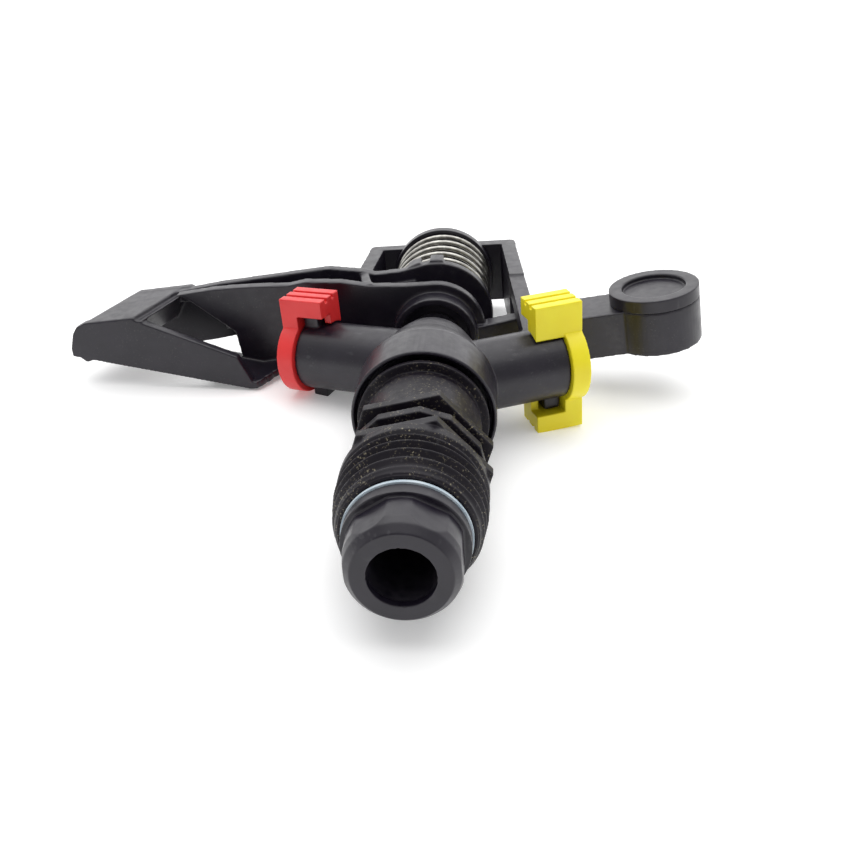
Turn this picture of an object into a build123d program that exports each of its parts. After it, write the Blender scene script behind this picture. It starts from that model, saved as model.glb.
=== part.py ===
"""Impact sprinkler with a half-inch male inlet, in separate pieces.

The sprinkler stands upright. Z is the spin axis and z = 0 is the end face of the bearing nut at the inlet.
The main nozzle points along -X, the rear nozzle along +X. All sizes are in millimetres.
"""

import os
from math import cos, radians, sin, tan

from build123d import *

os.makedirs("parts", exist_ok=True)

# Inlet thread, G 1/2: 20.955 over the crests, 18.631 at the root, 14 threads to the inch.
thread_crest_radius = 10.478
thread_root_radius = 9.316
thread_pitch = 1.814
thread_start = 9.3
thread_turns = 4
crest_width = 0.3

# Bearing sleeve and the stem that turns in it.
stem_radius = 6.0
waterway_radius = 4.3
running_clearance = 0.08
sleeve_bottom = 8.7
barrel_radius = 9.15
barrel_top = 44.0
hexagon_across_flats = 19.4
hexagon_turn = 50.1
plate_thickness = 1.75
plate_heights = (19.9, 23.7, 27.5)

# Sprinkler body.
skirt_radius = 11.5
skirt_rim = 40.7
tube_radius = 6.14
tube_bore = 4.2
tube_elevation = 20.0
main_tube_height = 60.2
rear_tube_height = 52.5
main_tube_length = 23.9
rear_tube_length = 23.2
neck_radius = 3.5
neck_top = 73.8

# Bridge over the arm.
bridge_half_width = 6.3
bridge_under = 108.5
bridge_top = 111.5
leg_thickness = 3.0

# Pivot of the arm.
pin_radius = 2.0
bushing_radius = 3.0
pivot_bore = pin_radius + 0.06

# Arm, drawn along its own length and turned to its rest angle.
arm_rest_angle = 6.0
hub_bottom = 72.6
front_wall = 76.4
back_wall = 84.0
wall_thickness = 2.2
weight_centre = 40.6
weight_height = 75.0
weight_radius = 8.0

# Bayonet nozzle caps.
cap_radius = 7.0
cap_thickness = 3.2
cap_gap = 0.1
wing_radius = 11.6
wing_half_width = 3.3
wing_length = 8.4
wing_clear_radius = 6.5
lug_radius = 8.1
lug_half_width = 1.5
spigot_radius = 4.1


def arm_plane(height):
    """A horizontal plane at this height with its x along the arm."""
    lean = radians(arm_rest_angle)
    return Plane(origin=(0, 0, height), x_dir=(cos(lean), -sin(lean), 0), z_dir=(0, 0, 1))


def arm_side_plane(offset):
    """An upright plane along the arm, this far to the side; its own y runs up the spin axis."""
    lean = radians(arm_rest_angle)
    sideways = (sin(lean), cos(lean))
    return Plane(
        origin=(sideways[0] * offset, sideways[1] * offset, 0),
        x_dir=(cos(lean), -sin(lean), 0),
        z_dir=(-sideways[0], -sideways[1], 0),
    )


def tube_plane(side, height, distance):
    """A plane across a nozzle tube, this far out from the spin axis; its own x points to the top wing."""
    rise = radians(tube_elevation)
    outward = (side * cos(rise), 0, sin(rise))
    origin = (outward[0] * distance, 0, height + outward[2] * distance)
    return Plane(origin=origin, x_dir=(0, -1, 0), z_dir=outward)


def ring(name, outer, inner, bottom, height):
    """A flat washer on the spin axis, written out under its own name."""
    with BuildPart() as washer:
        with BuildSketch(Plane.XY.offset(bottom)):
            Circle(outer)
            Circle(inner, mode=Mode.SUBTRACT)
        extrude(amount=height)
    save(washer.part, name)


def save(shape, name):
    """Label one piece and write its file."""
    shape.label = name
    export_step(shape, f"parts/{name}.step")


# ------------------------------------------------------------------ bearing nut
# The moulded nut that screws on the end of the stem and holds the bearing together.
nut_height = 8.0
nut_radius = 7.65
nut_collar_radius = 8.35
nut_flats_height = 6.1
nut_flat_distance = 7.25
nut_lip = 1.2

with BuildPart() as bearing_nut:
    with BuildSketch(Plane.XZ):
        Polygon(
            (waterway_radius, 0),
            (nut_radius - 1.3, 0),
            (nut_radius - 0.35, 1.1),
            (nut_radius, 2.2),
            (nut_radius, nut_flats_height),
            (nut_collar_radius, nut_flats_height),
            (nut_collar_radius, nut_height),
            (stem_radius, nut_height),
            (stem_radius, nut_lip),
            (waterway_radius, nut_lip),
            align=None,
        )
    revolve(axis=Axis.Z)
    with BuildSketch(Plane.XY):
        Circle(nut_radius + 2.0)
        RegularPolygon(nut_flat_distance, 6, major_radius=False, rotation=30, mode=Mode.SUBTRACT)
    extrude(amount=nut_flats_height, mode=Mode.SUBTRACT)
save(bearing_nut.part, "bearing_nut")

# ------------------------------------------------------------------ washers under the sleeve
# A pale slip washer turns with the nut; a rubber washer seals it against a second slip washer in the sleeve.
washer_bore = stem_radius + 0.1
ring("slip_washer_lower", 8.55, washer_bore, 8.05, 0.5)
ring("rubber_seal_washer", 7.9, washer_bore, 8.6, 1.0)
ring("slip_washer_inner", 7.9, washer_bore, 9.65, 0.5)

# ------------------------------------------------------------------ bearing sleeve
# The threaded sleeve that stays still on the riser; three thin hexagon plates take the wrench.
washer_seat_radius = 8.4
spring_seat_radius = 8.15
spring_seat_height = 31.0
plate_core_radius = 8.3
barrel_step = 37.6
dust_flange_radius = 10.3
dust_flange_heights = (39.3, 40.3)
flank = (thread_pitch - crest_width) / 2

thread_outline = [(stem_radius + 1.0, sleeve_bottom), (thread_root_radius - 0.3, sleeve_bottom)]
thread_outline.append((thread_root_radius, sleeve_bottom + 0.3))
for turn in range(thread_turns):
    root = thread_start + turn * thread_pitch
    thread_outline.append((thread_root_radius, root))
    thread_outline.append((thread_crest_radius, root + flank))
    thread_outline.append((thread_crest_radius, root + flank + crest_width))
thread_outline.append((thread_root_radius, thread_start + thread_turns * thread_pitch))
thread_outline.append((thread_crest_radius, thread_start + thread_turns * thread_pitch + flank))
thread_outline.append((thread_crest_radius, plate_heights[0]))
thread_outline.append((stem_radius + 1.0, plate_heights[0]))

with BuildPart() as bearing_sleeve:
    with BuildSketch(Plane.XZ):
        Polygon(*thread_outline, align=None)
    revolve(axis=Axis.Z)
    with BuildSketch(Plane.XY.offset(plate_heights[0])):
        Circle(plate_core_radius)
    extrude(amount=plate_heights[2] - plate_heights[0])
    for height in (plate_heights[0], plate_heights[2]):
        with BuildSketch(Plane.XY.offset(height)):
            RegularPolygon(hexagon_across_flats / 2, 6, major_radius=False, rotation=hexagon_turn)
        extrude(amount=plate_thickness)
    with BuildSketch(Plane.XY.offset(plate_heights[1])):
        RegularPolygon(hexagon_across_flats / 2, 6, major_radius=False, rotation=hexagon_turn)
        RegularPolygon(9.9, 6, major_radius=False, rotation=hexagon_turn + 30, mode=Mode.INTERSECT)
    extrude(amount=plate_thickness)
    # Barrel, with a step and a flange that keep dirt out of the skirt.
    for bottom, top, radius in (
        (plate_heights[2], barrel_step, barrel_radius),
        (barrel_step, barrel_top, barrel_radius - 0.3),
        (*dust_flange_heights, dust_flange_radius),
    ):
        with BuildSketch(Plane.XY.offset(bottom)):
            Circle(radius)
        extrude(amount=top - bottom)
    with BuildSketch(Plane.XY.offset(sleeve_bottom)):
        Circle(stem_radius + running_clearance)
    extrude(amount=barrel_top, mode=Mode.SUBTRACT)
    with BuildSketch(Plane.XY.offset(sleeve_bottom)):
        Circle(washer_seat_radius)
    extrude(amount=1.5, mode=Mode.SUBTRACT)
    with BuildSketch(Plane.XY.offset(spring_seat_height)):
        Circle(spring_seat_radius)
    extrude(amount=barrel_top - spring_seat_height, mode=Mode.SUBTRACT)
save(bearing_sleeve.part, "bearing_sleeve")

# ------------------------------------------------------------------ upper bearing
# The load spring stands in the hollow barrel between two washers and keeps grit out of the seal.
ring("spring_washer_lower", 8.0, washer_bore, spring_seat_height + 0.05, 0.7)
ring("spring_washer_upper", 8.0, washer_bore, 41.2, 0.7)

load_spring_wire = 0.5
load_spring_radius = 7.2
load_spring_bottom = 32.4
load_spring_height = 8.2
load_spring_turns = 3.5

with BuildPart() as load_spring:
    with BuildLine() as load_coil:
        Helix(
            pitch=load_spring_height / load_spring_turns,
            height=load_spring_height,
            radius=load_spring_radius,
            center=(0, 0, load_spring_bottom),
        )
    with BuildSketch(Plane(load_coil.line @ 0, z_dir=load_coil.line % 0)):
        Circle(load_spring_wire)
    sweep(is_frenet=True)
save(load_spring.part, "bearing_load_spring")

# ------------------------------------------------------------------ stem
# The hollow stem carries the water up through the sleeve; its top is fixed in the body.
stem_top = 47.0

with BuildPart() as stem_tube:
    with BuildSketch(Plane.XY.offset(nut_lip)):
        Circle(stem_radius)
        Circle(waterway_radius, mode=Mode.SUBTRACT)
    extrude(amount=stem_top - nut_lip)
save(stem_tube.part, "stem_tube")

# ------------------------------------------------------------------ sprinkler body
# One moulding: the skirt over the bearing, two nozzle tubes, the neck under the arm and the bridge.
tubes = (
    (-1, main_tube_height, main_tube_length),
    (1, rear_tube_height, rear_tube_length),
)
low_leg_inner = 2.4
low_leg_outer = 6.0
low_leg_top = 88.6
leg_top_x = 15.6
leg_foot_x = (18.6, 19.2)
beam_boss_radius = 6.0
boss_under = 42.0
boss_radius = 7.6
skirt_ceiling = 45.0

with BuildPart() as sprinkler_body:
    for side, height, length in tubes:
        foot_x = leg_foot_x[0] if side < 0 else leg_foot_x[1]
        foot = height + foot_x * tan(radians(tube_elevation))
        with BuildSketch(Plane.XZ.offset(-bridge_half_width)):
            Polygon(
                (side * foot_x, foot),
                (side * leg_top_x, bridge_top - 0.5),
                (side * (leg_top_x - leg_thickness), bridge_top - 0.5),
                (side * (foot_x - leg_thickness), foot),
                align=None,
            )
        extrude(amount=2 * bridge_half_width)
        # Low down each leg keeps to one side, so the arm can swing past the other.
        with BuildSketch(Plane.XY.offset(50.0)):
            with Locations((side * leg_foot_x[0], side * (bridge_half_width - low_leg_inner) / 2 + side * 0.1)):
                Rectangle(12.0, bridge_half_width + low_leg_inner + 0.2)
            with Locations((side * leg_foot_x[0], -side * (low_leg_outer + 1.0))):
                Rectangle(12.0, 2.0)
        extrude(amount=low_leg_top - 50.0, mode=Mode.SUBTRACT)
    with BuildSketch(Plane.XZ.offset(-bridge_half_width)):
        Polygon(
            (-leg_top_x - 0.3, bridge_under),
            (-leg_top_x, bridge_top),
            (leg_top_x, bridge_top),
            (leg_top_x + 0.3, bridge_under),
            align=None,
        )
    extrude(amount=2 * bridge_half_width)
    fillet(sprinkler_body.edges().filter_by(Axis.Y).group_by(Axis.Z)[-1], 1.2)
    with BuildSketch(Plane.XY.offset(bridge_top)):
        Circle(beam_boss_radius)
    extrude(amount=1.5)
    with BuildSketch(Plane.XZ):
        Polygon(
            (0, skirt_rim),
            (skirt_radius, skirt_rim),
            (skirt_radius, 50.0),
            (11.0, 52.0),
            (9.6, 56.5),
            (8.6, 61.0),
            (7.4, 65.0),
            (5.4, 68.2),
            (neck_radius, 69.6),
            (neck_radius, neck_top),
            (0, neck_top),
            align=None,
        )
    revolve(axis=Axis.Z)
    for side, height, length in tubes:
        with BuildSketch(tube_plane(side, height, 0)):
            Circle(tube_radius)
        extrude(amount=length)
        with BuildSketch(tube_plane(side, height, length - 3.0)):
            Rectangle(2 * lug_radius, 2 * lug_half_width)
        extrude(amount=2.8)
    # Hollow skirt with a stepped lip, and the boss that closes the bearing from above.
    with BuildSketch(Plane.XZ):
        Polygon(
            (boss_radius, skirt_rim),
            (skirt_radius - 0.6, skirt_rim),
            (skirt_radius - 0.6, skirt_rim + 1.6),
            (skirt_radius - 1.2, skirt_rim + 1.6),
            (skirt_radius - 1.2, skirt_ceiling),
            (boss_radius, skirt_ceiling),
            align=None,
        )
    revolve(axis=Axis.Z, mode=Mode.SUBTRACT)
    with BuildSketch(Plane.XY.offset(skirt_rim)):
        Circle(boss_radius + 0.5)
    extrude(amount=boss_under - skirt_rim, mode=Mode.SUBTRACT)
    with BuildSketch(Plane.XY.offset(skirt_rim)):
        Circle(stem_radius)
    extrude(amount=stem_top - skirt_rim, mode=Mode.SUBTRACT)
    with BuildSketch(Plane.XY.offset(skirt_rim)):
        Circle(waterway_radius)
    extrude(amount=main_tube_height + 1.0 - skirt_rim, mode=Mode.SUBTRACT)
    for side, height, length in tubes:
        with BuildSketch(tube_plane(side, height, 0)):
            Circle(tube_bore)
        extrude(amount=length, mode=Mode.SUBTRACT)
    # Hole for the pivot pin, through the beam and down into the neck.
    with BuildSketch(Plane.XY.offset(67.0)):
        Circle(pin_radius)
    extrude(amount=60.0, mode=Mode.SUBTRACT)
save(sprinkler_body.part, "sprinkler_body")

# ------------------------------------------------------------------ pivot pin
# Stainless pin dropped in from the top of the bridge; the arm turns on it.
pin_foot = 67.0
pin_head_radius = 3.2
pin_head_height = 1.4
pin_head_seat = bridge_top + 1.5

with BuildPart() as pivot_pin:
    with BuildSketch(Plane.XY.offset(pin_foot)):
        Circle(pin_radius)
    extrude(amount=pin_head_seat - pin_foot)
    with BuildSketch(Plane.XY.offset(pin_head_seat)):
        Circle(pin_head_radius)
    extrude(amount=pin_head_height)
    fillet(pivot_pin.edges().group_by(Axis.Z)[-1], 0.5)
save(pivot_pin.part, "pivot_pin")

# ------------------------------------------------------------------ spring cap
# Round cap under the bridge; the fixed end of the arm spring hooks into it and its teeth set the tension.
spring_cap_radius = 10.65
spring_cap_bottom = 105.4
spring_cap_spigot = 8.6
spring_cap_notches = 12

with BuildPart() as spring_cap:
    with BuildSketch(Plane.XY.offset(spring_cap_bottom + 0.9)):
        Circle(spring_cap_radius)
    extrude(amount=bridge_under - spring_cap_bottom - 0.9)
    with BuildSketch(Plane.XY.offset(spring_cap_bottom - 1.5)):
        Circle(spring_cap_spigot)
    extrude(amount=3.0)
    with BuildSketch(Plane.XY.offset(spring_cap_bottom - 1.5)):
        Circle(pin_radius)
    extrude(amount=10.0, mode=Mode.SUBTRACT)
    # Notches for the fixed end of the spring, on the side of the coil.
    with BuildSketch(Plane.XY.offset(spring_cap_bottom - 1.5)):
        with PolarLocations(spring_cap_spigot, spring_cap_notches):
            Circle(0.6)
    extrude(amount=2.4, mode=Mode.SUBTRACT)
save(spring_cap.part, "spring_tension_cap")

# ------------------------------------------------------------------ flow straightener
# Four-bladed vane pushed into the main tube to calm the water before the nozzle.
vane_inner = 9.5
vane_length = 7.0
blade_thickness = 0.7

with BuildPart() as flow_straightener:
    with BuildSketch(tube_plane(-1, main_tube_height, vane_inner)):
        Circle(tube_bore)
        Circle(tube_bore - 0.6, mode=Mode.SUBTRACT)
        Rectangle(2 * tube_bore - 0.6, blade_thickness)
        Rectangle(blade_thickness, 2 * tube_bore - 0.6)
    extrude(amount=vane_length)
save(flow_straightener.part, "flow_straightener")

# ------------------------------------------------------------------ arm thrust washer
# Nylon washer that the arm rides on, sitting on the neck.
thrust_washer_radius = 4.6
ring("arm_thrust_washer", thrust_washer_radius, pivot_bore, neck_top, 0.6)

# ------------------------------------------------------------------ impact arm
# One moulding: hub spool with two discs, two walls out to the deflector and a bar out to the weight.
front_disc_radius = 9.4
back_disc_radius = 10.8
hub_radius = 7.8
hub_core_radius = 7.0
hub_recess_radius = 6.6
hub_top = back_wall + wall_thickness
spring_tooth_inner = 10.4
spring_tooth_outer = 11.3
spring_tooth_height = 2.0
spring_teeth = 4
spring_tooth_step = 23
web_lower = -6.4
web_thickness = 1.6

front_wall_outline = [
    (0, -front_disc_radius),
    (-4.5, -9.8),
    (-10.9, -10.8),
    (-16.0, -12.4),
    (-22.6, -13.5),
    (-25.7, -13.3),
    (-33.0, -14.2),
    (-39.7, -14.8),
    (-48.0, -14.8),
    (-46.0, -14.0),
    (-38.3, -5.8),
    (-38.3, 0.6),
    (-34.1, 2.5),
    (-28.4, 2.5),
    (-26.0, 0.2),
    (0, 0.2),
]
back_wall_outline = [
    (0, -back_disc_radius),
    (-5.7, -10.2),
    (-10.6, -10.4),
    (-12.9, -11.4),
    (-19.0, -12.9),
    (-27.0, -13.5),
    (-40.0, -14.5),
    (-52.0, -14.8),
    (-52.0, -13.0),
    (-44.0, -12.0),
    (-36.0, -6.0),
    (-20.0, 0.2),
    (0, 0.2),
]

# Deflector at the end of the arm: a block leaning over the jet, open towards the nozzle.
deflector_near = 67.0
deflector_far = 82.5
deflector_lean = 6.0
deflector_skin = 1.8
deflector_top = -14.8
lean_direction = (
    deflector_lean * cos(radians(arm_rest_angle)),
    -deflector_lean * sin(radians(arm_rest_angle)),
    deflector_far - deflector_near,
)
lean_length = (deflector_lean**2 + (deflector_far - deflector_near) ** 2) ** 0.5
near_plate_outline = [
    (-66.8, -9.2),
    (-66.5, -10.8),
    (-65.3, -13.4),
    (-64.2, -14.6),
    (-62.4, -15.2),
    (-53.0, -14.4),
    (-36.0, -4.3),
    (-34.1, 2.5),
    (-35.0, 2.5),
]
cap_section = [
    (-66.8, -9.2),
    (-66.5, -10.8),
    (-65.3, -13.4),
    (-64.2, -14.6),
    (-62.4, -15.2),
    (-53.0, deflector_top),
    (-53.0, deflector_top + deflector_skin),
    (-61.8, deflector_top + deflector_skin),
    (-63.4, -12.4),
    (-64.8, -8.6),
]
vane_section = [
    (-53.4, -14.0),
    (-51.6, -14.0),
    (-55.4, -9.4),
    (-64.4, -7.6),
    (-65.6, -9.0),
    (-56.4, -10.8),
]
far_plate_outline = [
    (-60.8, -9.2),
    (-60.5, -10.8),
    (-59.3, -13.4),
    (-58.2, -14.6),
    (-56.4, -15.2),
    (-46.0, deflector_top),
    (-44.0, -13.0),
    (-37.6, -6.0),
    (-37.6, -3.6),
    (-44.0, -3.3),
    (-47.5, -3.3),
    (-56.0, -7.5),
]
floor_section = [
    (-28.4, 2.5),
    (-34.1, 2.5),
    (-43.0, -0.6),
    (-43.0, -2.1),
    (-34.4, 1.1),
    (-28.4, 1.1),
]
floor_teeth = 5

# Bar to the counterweight.
bar_top = -1.0
bar_under = 7.2
plate_top = 0.0
plate_under = 8.0
weight_under = 7.2
weight_seat_radius = 6.3
weight_seat_under = 5.9

with BuildPart() as impact_arm:
    # Back wall, swept forward towards the deflector.
    with BuildSketch(arm_side_plane(20.0)):
        Polygon(
            (1.0, back_wall),
            (-21.0, back_wall),
            (-52.0, 78.0),
            (-52.0, 80.2),
            (-21.0, hub_top),
            (1.0, hub_top),
            align=None,
        )
    extrude(amount=40.0)
    with BuildSketch(arm_plane(70.0)):
        Polygon(*back_wall_outline, align=None)
    extrude(amount=30.0, mode=Mode.INTERSECT)
    # Front wall.
    with BuildSketch(arm_plane(front_wall)):
        Polygon(*front_wall_outline, align=None)
    extrude(amount=wall_thickness)
    # Web between the walls and the rib that divides the pockets.
    with BuildSketch(arm_side_plane(web_lower)):
        Polygon((-3.0, 77.0), (-40.0, 77.0), (-40.0, 81.0), (-21.0, 85.0), (-3.0, 85.0), align=None)
    extrude(amount=web_thickness)
    with BuildSketch(arm_side_plane(web_lower)):
        Polygon((-10.2, 77.0), (-12.0, 77.0), (-13.8, 85.0), (-12.0, 85.0), align=None)
    extrude(amount=4.6)
    # Hub spool.
    for bottom, top, radius in (
        (hub_bottom, front_wall, hub_radius),
        (front_wall, front_wall + wall_thickness, front_disc_radius),
        (front_wall, hub_top, hub_core_radius),
        (back_wall, hub_top, back_disc_radius),
    ):
        with BuildSketch(Plane.XY.offset(bottom)):
            Circle(radius)
        extrude(amount=top - bottom)
    with BuildSketch(Plane.XY.offset(hub_bottom)):
        Circle(hub_recess_radius)
    extrude(amount=neck_top + 0.65 - hub_bottom, mode=Mode.SUBTRACT)
    # Teeth that hold the free end of the arm spring.
    with BuildSketch(arm_plane(back_wall + 0.6)):
        with PolarLocations(
            back_disc_radius, spring_teeth, start_angle=209, angular_range=spring_teeth * spring_tooth_step
        ):
            Rectangle(4.0, 2.6)
        Circle(spring_tooth_outer, mode=Mode.INTERSECT)
        Circle(spring_tooth_inner, mode=Mode.SUBTRACT)
    extrude(amount=hub_top + spring_tooth_height - back_wall - 0.6)
    # Deflector.
    with BuildSketch(arm_plane(deflector_near)):
        Polygon(*near_plate_outline, align=None)
    extrude(amount=deflector_skin)
    with BuildSketch(arm_plane(deflector_near)):
        Polygon(*cap_section, align=None)
        Polygon(*vane_section, align=None)
    extrude(amount=lean_length, dir=lean_direction)
    with BuildSketch(arm_plane(deflector_far - deflector_skin)):
        Polygon(*far_plate_outline, align=None)
    extrude(amount=deflector_skin)
    with BuildSketch(arm_plane(deflector_near)):
        Polygon(*floor_section, align=None)
    extrude(amount=front_wall + wall_thickness - deflector_near)
    # The floor stops short of the nozzle, with a row of fine teeth along its edge.
    with BuildSketch(arm_side_plane(6.0)):
        Polygon((-34.1, 66.0), (-28.0, 76.0), (-20.0, 76.0), (-20.0, 66.0), align=None)
        for tooth in range(floor_teeth):
            with Locations((-33.2 + 1.1 * tooth, 67.2 + 1.8 * tooth)):
                Rectangle(0.9, 0.6)
    extrude(amount=5.5, mode=Mode.SUBTRACT)
    # Thin plate past the rear nozzle, thick bar, and the housing of the weight.
    with BuildSketch(arm_side_plane(plate_under)):
        Polygon(
            (0, 73.8), (16.0, 76.9), (27.5, 77.2), (27.5, 80.4), (16.0, 80.4), (0, 77.4), align=None
        )
    extrude(amount=plate_under - plate_top)
    with BuildSketch(arm_side_plane(bar_under)):
        with Locations(((weight_centre + 26.6) / 2, weight_height)):
            Rectangle(weight_centre - 26.6, 10.4)
    extrude(amount=bar_under - bar_top)
    with BuildSketch(arm_side_plane(weight_under)):
        with Locations((weight_centre, weight_height)):
            Circle(weight_radius)
    extrude(amount=weight_under - bar_top)
    with BuildSketch(arm_side_plane(weight_seat_under)):
        with Locations((weight_centre, weight_height)):
            Circle(weight_seat_radius)
    extrude(amount=weight_seat_under - bar_top, mode=Mode.SUBTRACT)
    # Room for the neck of the body and the bore for the bushing.
    with BuildSketch(Plane.XY.offset(hub_bottom - 1.0)):
        Circle(thrust_washer_radius + 0.3)
    extrude(amount=neck_top + 0.65 - hub_bottom + 1.0, mode=Mode.SUBTRACT)
    with BuildSketch(Plane.XY.offset(hub_bottom)):
        Circle(bushing_radius)
    extrude(amount=20.0, mode=Mode.SUBTRACT)
save(impact_arm.part, "impact_arm")

# ------------------------------------------------------------------ arm bushing
# Brass tube pressed into the hub, running on the pin.
bushing_bottom = neck_top + 0.65

with BuildPart() as arm_bushing:
    with BuildSketch(Plane.XY.offset(bushing_bottom)):
        Circle(bushing_radius)
        Circle(pivot_bore, mode=Mode.SUBTRACT)
    extrude(amount=hub_top - bushing_bottom)
save(arm_bushing.part, "arm_bushing")

# ------------------------------------------------------------------ counterweight
# A zinc slug dropped in the housing at the end of the bar, under a moulded cap.
cap_top = -3.3
cap_recess_radius = 5.6
cap_plug = 1.4

with BuildPart() as weight_slug:
    with BuildSketch(arm_side_plane(weight_seat_under)):
        with Locations((weight_centre, weight_height)):
            Circle(weight_seat_radius - 0.1)
    extrude(amount=weight_seat_under - bar_top - cap_plug - 0.1)
save(weight_slug.part, "counterweight_slug")

with BuildPart() as weight_cap:
    with BuildSketch(arm_side_plane(bar_top)):
        with Locations((weight_centre, weight_height)):
            Circle(weight_radius)
    extrude(amount=bar_top - cap_top)
    with BuildSketch(arm_side_plane(bar_top + cap_plug)):
        with Locations((weight_centre, weight_height)):
            Circle(weight_seat_radius)
    extrude(amount=cap_plug)
    with BuildSketch(arm_side_plane(cap_top + 0.9)):
        with Locations((weight_centre, weight_height)):
            Circle(cap_recess_radius)
    extrude(amount=2.0, mode=Mode.SUBTRACT)
    fillet(weight_cap.edges().filter_by(GeomType.CIRCLE).sort_by(Axis.Y)[0:1], 0.3)
save(weight_cap.part, "counterweight_cap")

# ------------------------------------------------------------------ arm spring
# Stainless torsion spring between the hub and the cap; it brings the arm back to its stop.
arm_spring_wire = 0.45
arm_spring_radius = 9.7
arm_spring_bottom = 86.75
arm_spring_height = 18.9
arm_spring_turns = 5.0

with BuildPart() as arm_spring:
    with BuildLine() as arm_coil:
        Helix(
            pitch=arm_spring_height / arm_spring_turns,
            height=arm_spring_height,
            radius=arm_spring_radius,
            center=(0, 0, arm_spring_bottom),
        )
    with BuildSketch(Plane(arm_coil.line @ 0, z_dir=arm_coil.line % 0)):
        Circle(arm_spring_wire)
    sweep(is_frenet=True)
save(arm_spring.part, "arm_spring")

# ------------------------------------------------------------------ nozzles
# Bayonet caps with the jet bore in the middle; each carries an O-ring on its spigot.
ring_groove_radius = 3.1
ring_wire = 0.5
ring_groove_depth = 3.0
groove_width = 1.2
finger_groove = 0.7
hook_thickness = 1.4


def nozzle(name, side, height, length, jet_radius, wings):
    """One bayonet nozzle over the end of a tube, with a wing at each of the given turns."""
    face = length + cap_gap
    hook = face + cap_thickness - wing_length
    with BuildPart() as cap:
        for turn in wings:
            with BuildSketch(tube_plane(side, height, hook)):
                with PolarLocations((wing_radius + 4.0) / 2, 1, start_angle=turn):
                    Rectangle(wing_radius - 4.0, 2 * wing_half_width)
            extrude(amount=wing_length)
            # Grooves between the finger ridges.
            for offset in (-1.15, 1.15):
                with BuildSketch(tube_plane(side, height, hook)):
                    with Locations(Rot(0, 0, turn) * Pos(wing_radius, offset)):
                        Rectangle(1.6, finger_groove)
                extrude(amount=wing_length, mode=Mode.SUBTRACT)
        with BuildSketch(tube_plane(side, height, hook)):
            Circle(wing_clear_radius)
        extrude(amount=face - hook, mode=Mode.SUBTRACT)
        # Slot that lets the lug in from the side and stops it at the far end.
        for turn in wings:
            with BuildSketch(tube_plane(side, height, hook + hook_thickness)):
                with Locations(Rot(0, 0, turn) * Pos((lug_radius + 5.4) / 2, -2.0)):
                    Rectangle(lug_radius - 4.8, 7.5)
            extrude(amount=face - hook - hook_thickness, mode=Mode.SUBTRACT)
            # The hook covers one side only, so the lug can pass it before the twist.
            with BuildSketch(tube_plane(side, height, hook)):
                with Locations(Rot(0, 0, turn) * Pos((lug_radius + 5.4) / 2, -2.3)):
                    Rectangle(lug_radius - 4.8, 4.0)
            extrude(amount=hook_thickness, mode=Mode.SUBTRACT)
        with BuildSketch(tube_plane(side, height, face)):
            Circle(cap_radius)
        extrude(amount=cap_thickness)
        with BuildSketch(tube_plane(side, height, face + cap_thickness)):
            Circle(jet_radius + 1.8)
        extrude(amount=1.2)
        with BuildSketch(tube_plane(side, height, face - 5.0)):
            Circle(spigot_radius)
        extrude(amount=5.0)
        with BuildSketch(tube_plane(side, height, face - ring_groove_depth - groove_width / 2)):
            Circle(spigot_radius + 0.5)
            Circle(ring_groove_radius, mode=Mode.SUBTRACT)
        extrude(amount=groove_width, mode=Mode.SUBTRACT)
        with BuildSketch(tube_plane(side, height, face - 5.0)):
            Circle(2.5)
        with BuildSketch(tube_plane(side, height, face + cap_thickness - 1.0)):
            Circle(jet_radius)
        loft(mode=Mode.SUBTRACT)
        with BuildSketch(tube_plane(side, height, face)):
            Circle(jet_radius)
        extrude(amount=cap_thickness + 2.0, mode=Mode.SUBTRACT)
    save(cap.part, name)
    with BuildPart() as seal:
        with BuildSketch(Plane.XZ):
            with Locations((ring_groove_radius + ring_wire, 0)):
                Circle(ring_wire)
        revolve(axis=Axis.Z)
    seat = tube_plane(side, height, face - ring_groove_depth)
    save(seal.part.moved(seat.location), f"{name}_o_ring")


nozzle("red_nozzle", -1, main_tube_height, main_tube_length, 1.9, (0,))
nozzle("yellow_nozzle", 1, rear_tube_height, rear_tube_length, 1.3, (0, 180))
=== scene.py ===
from math import cos, pi, radians, sin

import bmesh
import bpy
from mathutils import Matrix, Vector


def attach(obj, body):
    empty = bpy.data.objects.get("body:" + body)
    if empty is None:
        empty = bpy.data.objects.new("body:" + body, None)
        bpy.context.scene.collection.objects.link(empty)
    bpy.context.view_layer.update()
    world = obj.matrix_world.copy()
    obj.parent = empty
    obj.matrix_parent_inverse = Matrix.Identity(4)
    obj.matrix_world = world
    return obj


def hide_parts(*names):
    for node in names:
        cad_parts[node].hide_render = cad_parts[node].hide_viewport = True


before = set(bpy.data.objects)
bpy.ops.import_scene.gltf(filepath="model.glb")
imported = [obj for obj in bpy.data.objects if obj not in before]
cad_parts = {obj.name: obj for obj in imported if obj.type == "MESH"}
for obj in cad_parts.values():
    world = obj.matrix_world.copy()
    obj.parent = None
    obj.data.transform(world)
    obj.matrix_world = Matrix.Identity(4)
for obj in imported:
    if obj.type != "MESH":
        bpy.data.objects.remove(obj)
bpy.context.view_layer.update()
MM = 0.001

# ---------------------------------------------------------------- bearing nut
# Black moulded acetal nut screwed on the foot of the stem. Six shallow flats are moulded in its side,
# and its front edge is rounded so that it drops into the riser.


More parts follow.
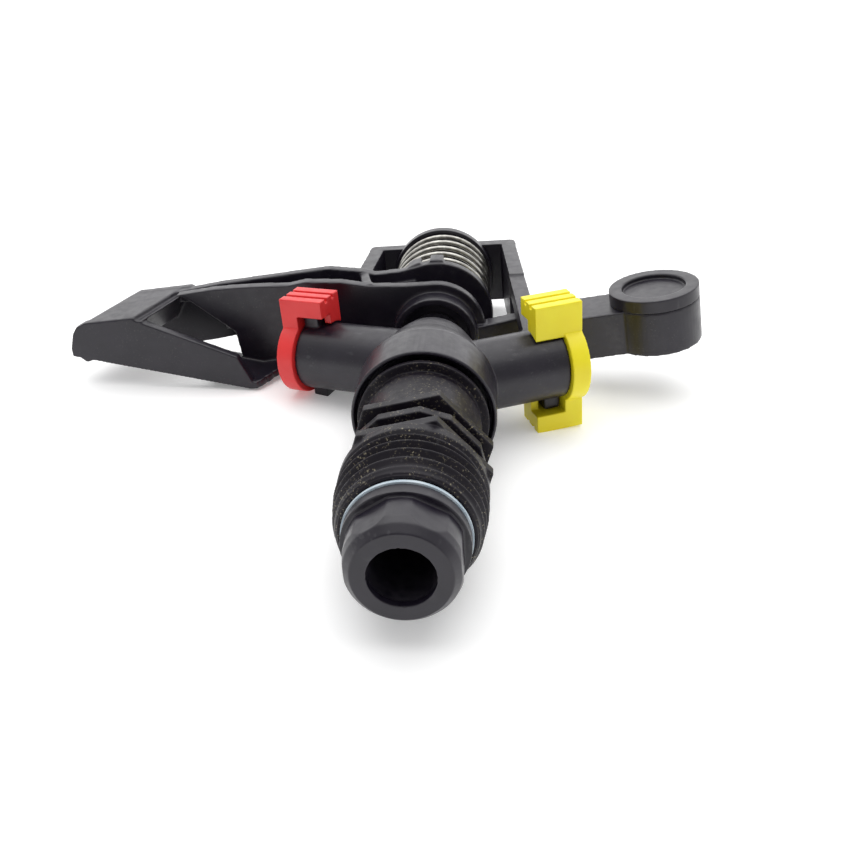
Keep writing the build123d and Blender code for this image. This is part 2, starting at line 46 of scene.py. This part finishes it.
def moulded_plastic(
    name, dark, light, roughness, scuff=0.25, dust=0.0, dust_colour=(0.55, 0.52, 0.44), shine=0.5
):
    """Moulded plastic: two tones, a fine spark-eroded grain, paler scuffed edges and, if asked, dust."""
    material = bpy.data.materials.new(name)
    material.use_nodes = True
    tree = material.node_tree
    shader = tree.nodes["Principled BSDF"]

    def node(kind, **settings):
        made = tree.nodes.new(kind)
        for key, value in settings.items():
            setattr(made, key, value)
        return made

    def noise(scale, detail, rough=0.5):
        made = node("ShaderNodeTexNoise")
        made.inputs["Scale"].default_value = scale
        made.inputs["Detail"].default_value = detail
        made.inputs["Roughness"].default_value = rough
        tree.links.new(place.outputs["Object"], made.inputs["Vector"])
        return made.outputs["Fac"]

    def spread(source, low, high, to_low=0.0, to_high=1.0):
        made = node("ShaderNodeMapRange")
        for key, value in zip(("From Min", "From Max", "To Min", "To Max"), (low, high, to_low, to_high)):
            made.inputs[key].default_value = value
        tree.links.new(source, made.inputs["Value"])
        return made.outputs["Result"]

    def times(first, second):
        made = node("ShaderNodeMath", operation="MULTIPLY")
        for socket, value in zip(made.inputs, (first, second)):
            if isinstance(value, float):
                socket.default_value = value
            else:
                tree.links.new(value, socket)
        return made.outputs["Value"]

    def mix(amount, first, second):
        made = node("ShaderNodeMix", data_type="RGBA")
        tree.links.new(amount, made.inputs["Factor"])
        for socket, value in zip((made.inputs[6], made.inputs[7]), (first, second)):
            if isinstance(value, tuple):
                socket.default_value = (*value, 1)
            else:
                tree.links.new(value, socket)
        return made.outputs[2]

    place = node("ShaderNodeTexCoord")
    edge = node("ShaderNodeNewGeometry").outputs["Pointiness"]
    colour = mix(spread(noise(160, 5), 0.35, 0.7), dark, light)
    if scuff:
        worn = times(spread(edge, 0.52, 0.62, 0.0, scuff), spread(noise(900, 4), 0.3, 0.6))
        paler = tuple(tone + 0.07 for tone in light)
        colour = mix(worn, colour, paler)
    if dust:
        specks = times(spread(noise(2600, 3, 0.7), 0.58, 0.72, 0.0, dust), spread(noise(240, 3), 0.4, 0.65))
        colour = mix(specks, colour, dust_colour)
    shader.inputs["Specular IOR Level"].default_value = shine
    tree.links.new(colour, shader.inputs["Base Color"])
    uneven = spread(noise(700, 4), 0.3, 0.7, roughness - 0.05, roughness + 0.08)
    tree.links.new(uneven, shader.inputs["Roughness"])
    grain = node("ShaderNodeBump")
    grain.inputs["Strength"].default_value = 0.12
    grain.inputs["Distance"].default_value = 0.00004
    tree.links.new(noise(6500, 2), grain.inputs["Height"])
    tree.links.new(grain.outputs["Normal"], shader.inputs["Normal"])
    return material


def finished(piece, body, slot, material, *nodes):
    """Gives a made piece its material and its body, and hides the CAD nodes it stands for. The slot is not
    used.
    """
    piece.data.materials.clear()
    piece.data.materials.append(material)
    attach(piece, body)
    if nodes:
        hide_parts(*nodes)
    return piece


def settled(piece):
    """Turns a piece and its modifiers into its final mesh."""
    evaluated = piece.evaluated_get(bpy.context.evaluated_depsgraph_get())
    mesh = bpy.data.meshes.new_from_object(evaluated)
    piece.modifiers.clear()
    piece.data = mesh
    mesh.shade_smooth()
    return piece


def moulded(name, meshes, grain=0.2, passes=3, share=0.3):
    """One moulding out of closed meshes: they fuse, and every edge is rounded a little."""
    joined = bmesh.new()
    for mesh in meshes:
        joined.from_mesh(mesh)
    whole = bpy.data.meshes.new(name)
    joined.to_mesh(whole)
    joined.free()
    piece = bpy.data.objects.new(name, whole)
    bpy.context.scene.collection.objects.link(piece)
    fuse = piece.modifiers.new("fuse", "REMESH")
    fuse.mode = "VOXEL"
    fuse.voxel_size = grain * MM * 1
    rounding = piece.modifiers.new("rounding", "SMOOTH")
    rounding.factor = 0.5
    rounding.iterations = passes
    thinning = piece.modifiers.new("thinning", "DECIMATE")
    thinning.ratio = share
    return settled(piece)


black = moulded_plastic("black_acetal", (0.0070, 0.0053, 0.0112), (0.0125, 0.0098, 0.0180), 0.33)
nut = moulded("bearing_nut_moulding", [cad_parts["bearing_nut"].data], grain=0.13)
finished(nut, "sprinkler", "black_plastic", black, "bearing_nut")

# ---------------------------------------------------------------- washers of the bearing
# Two pale slip washers, with a black rubber one between them, are stacked in the foot of the sleeve. Two
# more pale ones sit at the ends of the spring in its barrel. All are punched flat rings.


def plain_surface(name, dark, light, roughness, metal=0.0, scale=400.0, stretch=(1, 1, 1)):
    """A surface whose two tones run into each other, with roughness and a fine relief that follow them."""
    material = bpy.data.materials.new(name)
    material.use_nodes = True
    tree = material.node_tree
    shader = tree.nodes["Principled BSDF"]
    place = tree.nodes.new("ShaderNodeTexCoord")
    drawn = tree.nodes.new("ShaderNodeMapping")
    drawn.inputs["Scale"].default_value = stretch
    cloud = tree.nodes.new("ShaderNodeTexNoise")
    cloud.inputs["Scale"].default_value = scale
    cloud.inputs["Detail"].default_value = 5
    tones = tree.nodes.new("ShaderNodeValToRGB")
    tones.color_ramp.elements[0].position = 0.35
    tones.color_ramp.elements[0].color = (*dark, 1)
    tones.color_ramp.elements[1].position = 0.65
    tones.color_ramp.elements[1].color = (*light, 1)
    gloss = tree.nodes.new("ShaderNodeMapRange")
    gloss.inputs["To Min"].default_value = roughness - 0.06
    gloss.inputs["To Max"].default_value = roughness + 0.1
    relief = tree.nodes.new("ShaderNodeBump")
    relief.inputs["Strength"].default_value = 0.1
    relief.inputs["Distance"].default_value = 0.00004
    shader.inputs["Metallic"].default_value = metal
    tree.links.new(place.outputs["Object"], drawn.inputs["Vector"])
    tree.links.new(drawn.outputs["Vector"], cloud.inputs["Vector"])
    tree.links.new(cloud.outputs["Fac"], tones.inputs["Fac"])
    tree.links.new(cloud.outputs["Fac"], gloss.inputs["Value"])
    tree.links.new(cloud.outputs["Fac"], relief.inputs["Height"])
    tree.links.new(tones.outputs["Color"], shader.inputs["Base Color"])
    tree.links.new(gloss.outputs["Result"], shader.inputs["Roughness"])
    tree.links.new(relief.outputs["Normal"], shader.inputs["Normal"])
    return material


def kept(node, material):
    """A CAD node whose shape is right stays, with its own material."""
    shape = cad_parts[node]
    shape.data.materials.clear()
    shape.data.materials.append(material)


pale = plain_surface("pale_slip_washer", (0.42, 0.52, 0.60), (0.60, 0.68, 0.74), 0.35)
rubber = plain_surface("black_rubber", (0.012, 0.012, 0.013), (0.022, 0.021, 0.021), 0.65)
for washer in ("slip_washer_lower", "slip_washer_inner", "spring_washer_lower", "spring_washer_upper"):
    kept(washer, pale)
kept("rubber_seal_washer", rubber)

# ---------------------------------------------------------------- bearing sleeve
# Black moulded sleeve that stays still on the riser. It carries the inlet's pipe thread, three thin
# hexagon plates for the wrench and the smooth barrel. Old water has left dry, sandy dust in the thread.

thread_crest = 10.478
thread_root = 9.316
thread_pitch = 1.814
thread_foot = 9.3
thread_end = 16.9
taper_foot = 10.0
taper_length = 4.5
taper_start = 0.45
lead_in_length = 1.0
run_out_length = 1.2
foot_chamfer = 0.3
foot_chamfer_height = 0.25
sleeve_foot = 8.7
run_out_top = 19.9
plate_apothem = 9.7
plate_turn = 50.1
plate_feet = (19.9, 23.7, 27.5)
plate_thickness = 1.75
barrel = 9.15
barrel_step = 37.6
barrel_step_depth = 0.3
plate_core = 8.3
middle_plate_apothem = 9.9
dust_flange = 10.3
dust_flange_foot = 39.3
dust_flange_top = 40.3
barrel_top = 44.0
sleeve_bore = 6.08
washer_seat = 8.4
washer_seat_depth = 1.5
spring_seat = 8.15
spring_seat_foot = 31
past_the_end = 60
overlap = 0.5


def slab(outline, low, high):
    """A flat slab with this outline in mm between two heights."""
    block = bmesh.new()
    lower = [block.verts.new((x * MM, y * MM, low * MM)) for x, y in outline]
    upper = [block.verts.new((x * MM, y * MM, high * MM)) for x, y in outline]
    count = len(outline)
    block.faces.new(lower[::-1])
    block.faces.new(upper)
    for i in range(count):
        j = (i + 1) % count
        block.faces.new((lower[i], lower[j], upper[j], upper[i]))
    bmesh.ops.recalc_face_normals(block, faces=block.faces)
    mesh = bpy.data.meshes.new("slab")
    block.to_mesh(mesh)
    block.free()
    return mesh


def screw_thread(steps=192, rise=0.1):
    """The threaded length as one closed shell: the radius follows the screw line round and up."""
    shell = bmesh.new()
    heights = [sleeve_foot + rise * k for k in range(int((run_out_top - sleeve_foot) / rise) + 1)]
    rows = []
    for z in heights:
        row = []
        for step in range(steps):
            turn = step / steps
            along = ((z - thread_foot) / thread_pitch - turn) % 1.0
            ridge = max(0.0, min(1.0, (0.5 - abs(along - 0.5)) * 2.5 - 0.15))
            lead_in = max(0.0, min(1.0, (z - thread_foot + 0.2) / lead_in_length))
            taper = min(1.0, taper_start + (1 - taper_start) * (z - taper_foot) / taper_length)
            height = ridge * lead_in * taper
            if z > thread_end:
                run_out = min(1.0, (z - thread_end) / run_out_length)
                height = max(height * (1 - run_out), run_out)
            radius = thread_root + (thread_crest - thread_root) * height
            if z < sleeve_foot + foot_chamfer_height:
                radius -= foot_chamfer
            angle = 2 * pi * turn
            row.append(shell.verts.new((radius * cos(angle) * MM, radius * sin(angle) * MM, z * MM)))
        rows.append(row)
    for below, above in zip(rows, rows[1:]):
        for i in range(steps):
            j = (i + 1) % steps
            shell.faces.new((below[i], below[j], above[j], above[i]))
    shell.faces.new(rows[0][::-1])
    shell.faces.new(rows[-1])
    mesh = bpy.data.meshes.new("thread")
    shell.to_mesh(mesh)
    shell.free()
    return mesh


def hexagon(apothem, turn):
    """Corners of a hexagon with this half width across the flats."""
    reach = apothem / cos(pi / 6)
    turns = [radians(turn + 60 * k) for k in range(6)]
    return [(reach * cos(angle), reach * sin(angle)) for angle in turns]


def clipped(outline, apothem, turn):
    """An outline cut back to a second hexagon, side by side."""
    for k in range(6):
        nx, ny = cos(radians(turn + 30 + 60 * k)), sin(radians(turn + 30 + 60 * k))
        cut = []
        for (x0, y0), (x1, y1) in zip(outline, outline[1:] + outline[:1]):
            d0, d1 = x0 * nx + y0 * ny - apothem, x1 * nx + y1 * ny - apothem
            if d0 <= 0:
                cut.append((x0, y0))
            if (d0 < 0) != (d1 < 0):
                share = d0 / (d0 - d1)
                cut.append((x0 + (x1 - x0) * share, y0 + (y1 - y0) * share))
        outline = cut
    return outline


def bored(piece, cutters):
    """Cuts closed shapes out of a piece."""
    for mesh in cutters:
        tool = bpy.data.objects.new("cutter", mesh)
        bpy.context.scene.collection.objects.link(tool)
        cut = piece.modifiers.new("bore", "BOOLEAN")
        cut.operation = "DIFFERENCE"
        cut.solver = "EXACT"
        cut.object = tool
        settled(piece)
        bpy.data.objects.remove(tool)
    return piece


def rod(radius, low, high, steps=96):
    """A plain round bar on the spin axis, used to cut bores."""
    turns = [2 * pi * k / steps for k in range(steps)]
    return slab([(radius * cos(turn), radius * sin(turn)) for turn in turns], low, high)


full_plate = hexagon(plate_apothem, plate_turn)
middle_plate = clipped(full_plate, middle_plate_apothem, plate_turn + 30)
sleeve_shapes = [screw_thread(), rod(plate_core, run_out_top - overlap, plate_feet[2] + 2 * overlap)]
sleeve_shapes.append(rod(barrel, plate_feet[2] + overlap, barrel_step))
sleeve_shapes.append(rod(barrel - barrel_step_depth, barrel_step - overlap, barrel_top))
sleeve_shapes.append(rod(dust_flange, dust_flange_foot, dust_flange_top))
for foot, outline in zip(plate_feet, (full_plate, middle_plate, full_plate)):
    sleeve_shapes.append(slab(outline, foot, foot + plate_thickness))
sleeve = moulded("bearing_sleeve_moulding", sleeve_shapes, grain=0.13, passes=2, share=0.4)
bores = [rod(sleeve_bore, 0, past_the_end), rod(washer_seat, 0, sleeve_foot + washer_seat_depth)]
bores.append(rod(spring_seat, spring_seat_foot, past_the_end))
bored(sleeve, bores)
dusty = moulded_plastic(
    "dusty_black_acetal",
    (0.0070, 0.0055, 0.0095),
    (0.0135, 0.0108, 0.0160),
    0.38,
    scuff=0.30,
    dust=0.80,
    dust_colour=(0.46, 0.41, 0.28),
    shine=0.2,
)
finished(sleeve, "sleeve", "black_plastic", dusty, "bearing_sleeve")

# ---------------------------------------------------------------- load spring and stem
# A short stainless spring in the barrel presses the washers together. The hollow black stem runs through
# everything and is fixed in the body at its top.

steel = plain_surface("spring_steel", (0.32, 0.31, 0.29), (0.55, 0.54, 0.50), 0.3, 1.0, 700.0)
kept("bearing_load_spring", steel)
kept("stem_tube", black)

# ---------------------------------------------------------------- sprinkler body
# One black moulding: the skirt over the bearing, two nozzle tubes, the neck under the arm and the bridge.
# The flow straightener pushed into the main tube is of the same plastic.

body = moulded("sprinkler_body_moulding", [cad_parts["sprinkler_body"].data], grain=0.18)
streaked = moulded_plastic(
    "streaked_black_acetal",
    (0.0070, 0.0053, 0.0112),
    (0.0130, 0.0102, 0.0185),
    0.34,
    dust=0.10,
    dust_colour=(0.38, 0.37, 0.34),
)
finished(body, "sprinkler", "black_plastic", streaked, "sprinkler_body")
kept("flow_straightener", black)

# ---------------------------------------------------------------- pivot
# A stainless pin drops through the bridge and the arm into the neck. The arm turns on it on a brass
# bushing and rides on a black thrust washer.

brass = plain_surface("turned_brass", (0.50, 0.36, 0.14), (0.66, 0.50, 0.22), 0.32, 1.0, 500.0)
kept("pivot_pin", steel)
kept("arm_bushing", brass)
kept("arm_thrust_washer", black)

# ---------------------------------------------------------------- impact arm
# One black moulding: the hub with its two discs, two walls out to the deflector that the jet strikes, and
# a bar out to the housing of the weight.

arm = moulded("impact_arm_moulding", [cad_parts["impact_arm"].data], grain=0.2, passes=7)
finished(arm, "arm", "black_plastic", streaked, "impact_arm")

# ---------------------------------------------------------------- counterweight
# A cast zinc slug lies in the housing at the end of the bar under a pressed-in black cap.

zinc = plain_surface("cast_zinc", (0.30, 0.31, 0.32), (0.46, 0.47, 0.48), 0.5, 1.0)
kept("counterweight_slug", zinc)
weight_cap = moulded("counterweight_cap_moulding", [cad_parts["counterweight_cap"].data], grain=0.13)
finished(weight_cap, "arm", "black_plastic", black, "counterweight_cap")

# ---------------------------------------------------------------- arm spring and its cap
# Stainless torsion spring, one end held by teeth on the hub and the other in the round black cap under the
# bridge, whose notches set the tension.

spring_radius = 9.7
spring_wire = 0.45
spring_foot = 86.75
spring_rise = 18.9
spring_turns = 5.0
steps_per_turn = 48

coil = bpy.data.curves.new("arm_spring_wire", "CURVE")
coil.dimensions = "3D"
coil.bevel_depth = spring_wire * MM
coil.bevel_resolution = 5
coil.use_fill_caps = True
line = coil.splines.new("POLY")
count = int(spring_turns * steps_per_turn) + 1
line.points.add(count - 1)
for k in range(count):
    turn = 2 * pi * k / steps_per_turn
    height = spring_foot + spring_rise * k / (count - 1)
    line.points[k].co = (spring_radius * cos(turn) * MM, spring_radius * sin(turn) * MM, height * MM, 1)
wire = bpy.data.objects.new("arm_spring_wire", coil)
bpy.context.scene.collection.objects.link(wire)
bpy.context.view_layer.update()
spring = bpy.data.objects.new("arm_spring_coil", bpy.data.meshes.new_from_object(wire))
bpy.context.scene.collection.objects.link(spring)
bpy.data.objects.remove(wire)
spring.data.shade_smooth()
finished(spring, "arm", "spring_steel", steel, "arm_spring")

spring_cap = moulded("spring_cap_moulding", [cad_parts["spring_tension_cap"].data], grain=0.15)
finished(spring_cap, "sprinkler", "black_plastic", black, "spring_tension_cap")

# ---------------------------------------------------------------- nozzles
# Bayonet caps moulded in red and yellow, with ridged wings for the fingers. Each has a black O-ring on its
# spigot inside the tube.

red = moulded_plastic("red_acetal", (0.68, 0.020, 0.022), (0.76, 0.030, 0.030), 0.40, 0.0)
yellow = moulded_plastic("yellow_acetal", (0.86, 0.72, 0.010), (0.90, 0.80, 0.016), 0.40, 0.0)
for node, cap_body, slot, material in (
    ("red_nozzle", "red_nozzle_cap", "red_plastic", red),
    ("yellow_nozzle", "yellow_nozzle_cap", "yellow_plastic", yellow),
):
    cap = moulded(node + "_moulding", [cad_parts[node].data], grain=0.13, passes=5)
    finished(cap, cap_body, slot, material, node)
    kept(node + "_o_ring", rubber)

# ---------------------------------------------------------------- studio
# The sprinkler lies on a plain white table under one wide soft light. The room is bright behind it and
# dim on the side of its inlet, from where it is seen.

table_normal = Vector((0.0871, -0.9956, -0.0348))
table_point = Vector((0, 11.8, 0)) * MM
table_size = 6.0
floor_mesh = bpy.data.meshes.new("table_top")
across = table_normal.orthogonal().normalized()
along = table_normal.cross(across)
signs = ((-1, -1), (1, -1), (1, 1), (-1, 1))
corners = [table_point + (across * a + along * b) * table_size for a, b in signs]
floor_mesh.from_pydata(corners, [], [(0, 1, 2, 3)])
floor = bpy.data.objects.new("table_top", floor_mesh)
bpy.context.scene.collection.objects.link(floor)
paper = bpy.data.materials.new("white_table")
paper.use_nodes = True
paper_tree = paper.node_tree
paper_shader = paper_tree.nodes["Principled BSDF"]
paper_shader.inputs["Base Color"].default_value = (0.92, 0.92, 0.92, 1)
paper_shader.inputs["Roughness"].default_value = 0.9
paper_shader.inputs["Specular IOR Level"].default_value = 0.1
paper_shader.inputs["Emission Color"].default_value = (1, 1, 1, 1)
paper_shader.inputs["Emission Strength"].default_value = 0.2
see_through = paper_tree.nodes.new("ShaderNodeBsdfTransparent")
side = paper_tree.nodes.new("ShaderNodeNewGeometry")
either = paper_tree.nodes.new("ShaderNodeMixShader")
paper_tree.links.new(side.outputs["Backfacing"], either.inputs["Fac"])
paper_tree.links.new(paper_shader.outputs["BSDF"], either.inputs[1])
paper_tree.links.new(see_through.outputs["BSDF"], either.inputs[2])
paper_tree.links.new(either.outputs["Shader"], paper_tree.nodes["Material Output"].inputs["Surface"])
floor_mesh.materials.append(paper)
if floor_mesh.polygons[0].normal.dot(table_normal) < 0:
    floor_mesh.flip_normals()

world = bpy.data.worlds.new("studio")
world.use_nodes = True
dim_side = 0.25
bright_side = 1.65
world_tree = world.node_tree
bearing = world_tree.nodes.new("ShaderNodeTexCoord")
axes = world_tree.nodes.new("ShaderNodeSeparateXYZ")
fall = world_tree.nodes.new("ShaderNodeMapRange")
for key, value in (("From Min", -1.0), ("From Max", 1.0), ("To Min", dim_side), ("To Max", bright_side)):
    fall.inputs[key].default_value = value
world_tree.links.new(bearing.outputs["Generated"], axes.inputs["Vector"])
world_tree.links.new(axes.outputs["Z"], fall.inputs["Value"])
world_tree.links.new(fall.outputs["Result"], world_tree.nodes["Background"].inputs["Strength"])
world_tree.nodes["Background"].inputs["Color"].default_value = (1, 1, 1, 1)
bpy.context.scene.world = world


def soft_light(name, place, aim, width, power):
    """A square soft light at one point, turned to another."""
    lamp = bpy.data.lights.new(name, "AREA")
    lamp.size = width
    lamp.energy = power
    stand = bpy.data.objects.new(name, lamp)
    stand.location = place
    stand.rotation_mode = "QUATERNION"
    stand.rotation_quaternion = (Vector(aim) - Vector(place)).to_track_quat("-Z", "Y")
    bpy.context.scene.collection.objects.link(stand)


soft_light("overhead", (0.02, -0.45, 0.10), (0, 0, 0.05), 0.6, 1.5)

camera = bpy.data.objects.new("camera", bpy.data.cameras.new("camera"))
bpy.context.scene.collection.objects.link(camera)
camera.data.sensor_width = 36
camera.data.lens = 40.24
camera.data.clip_start = 0.005
camera_place = Vector((13.97, -68.65, -90.61)) * MM
camera_aim = Vector((0.05, 1.40, 41.30)) * MM
camera_up = Vector((0.0373, -0.8810, 0.4717))
forward = (camera_aim - camera_place).normalized()
right = forward.cross(camera_up).normalized()
up = right.cross(forward)
camera.matrix_world = Matrix.Translation(camera_place) @ Matrix((right, up, -forward)).transposed().to_4x4()
bpy.context.scene.camera = camera
bpy.context.scene.view_settings.view_transform = "Standard"
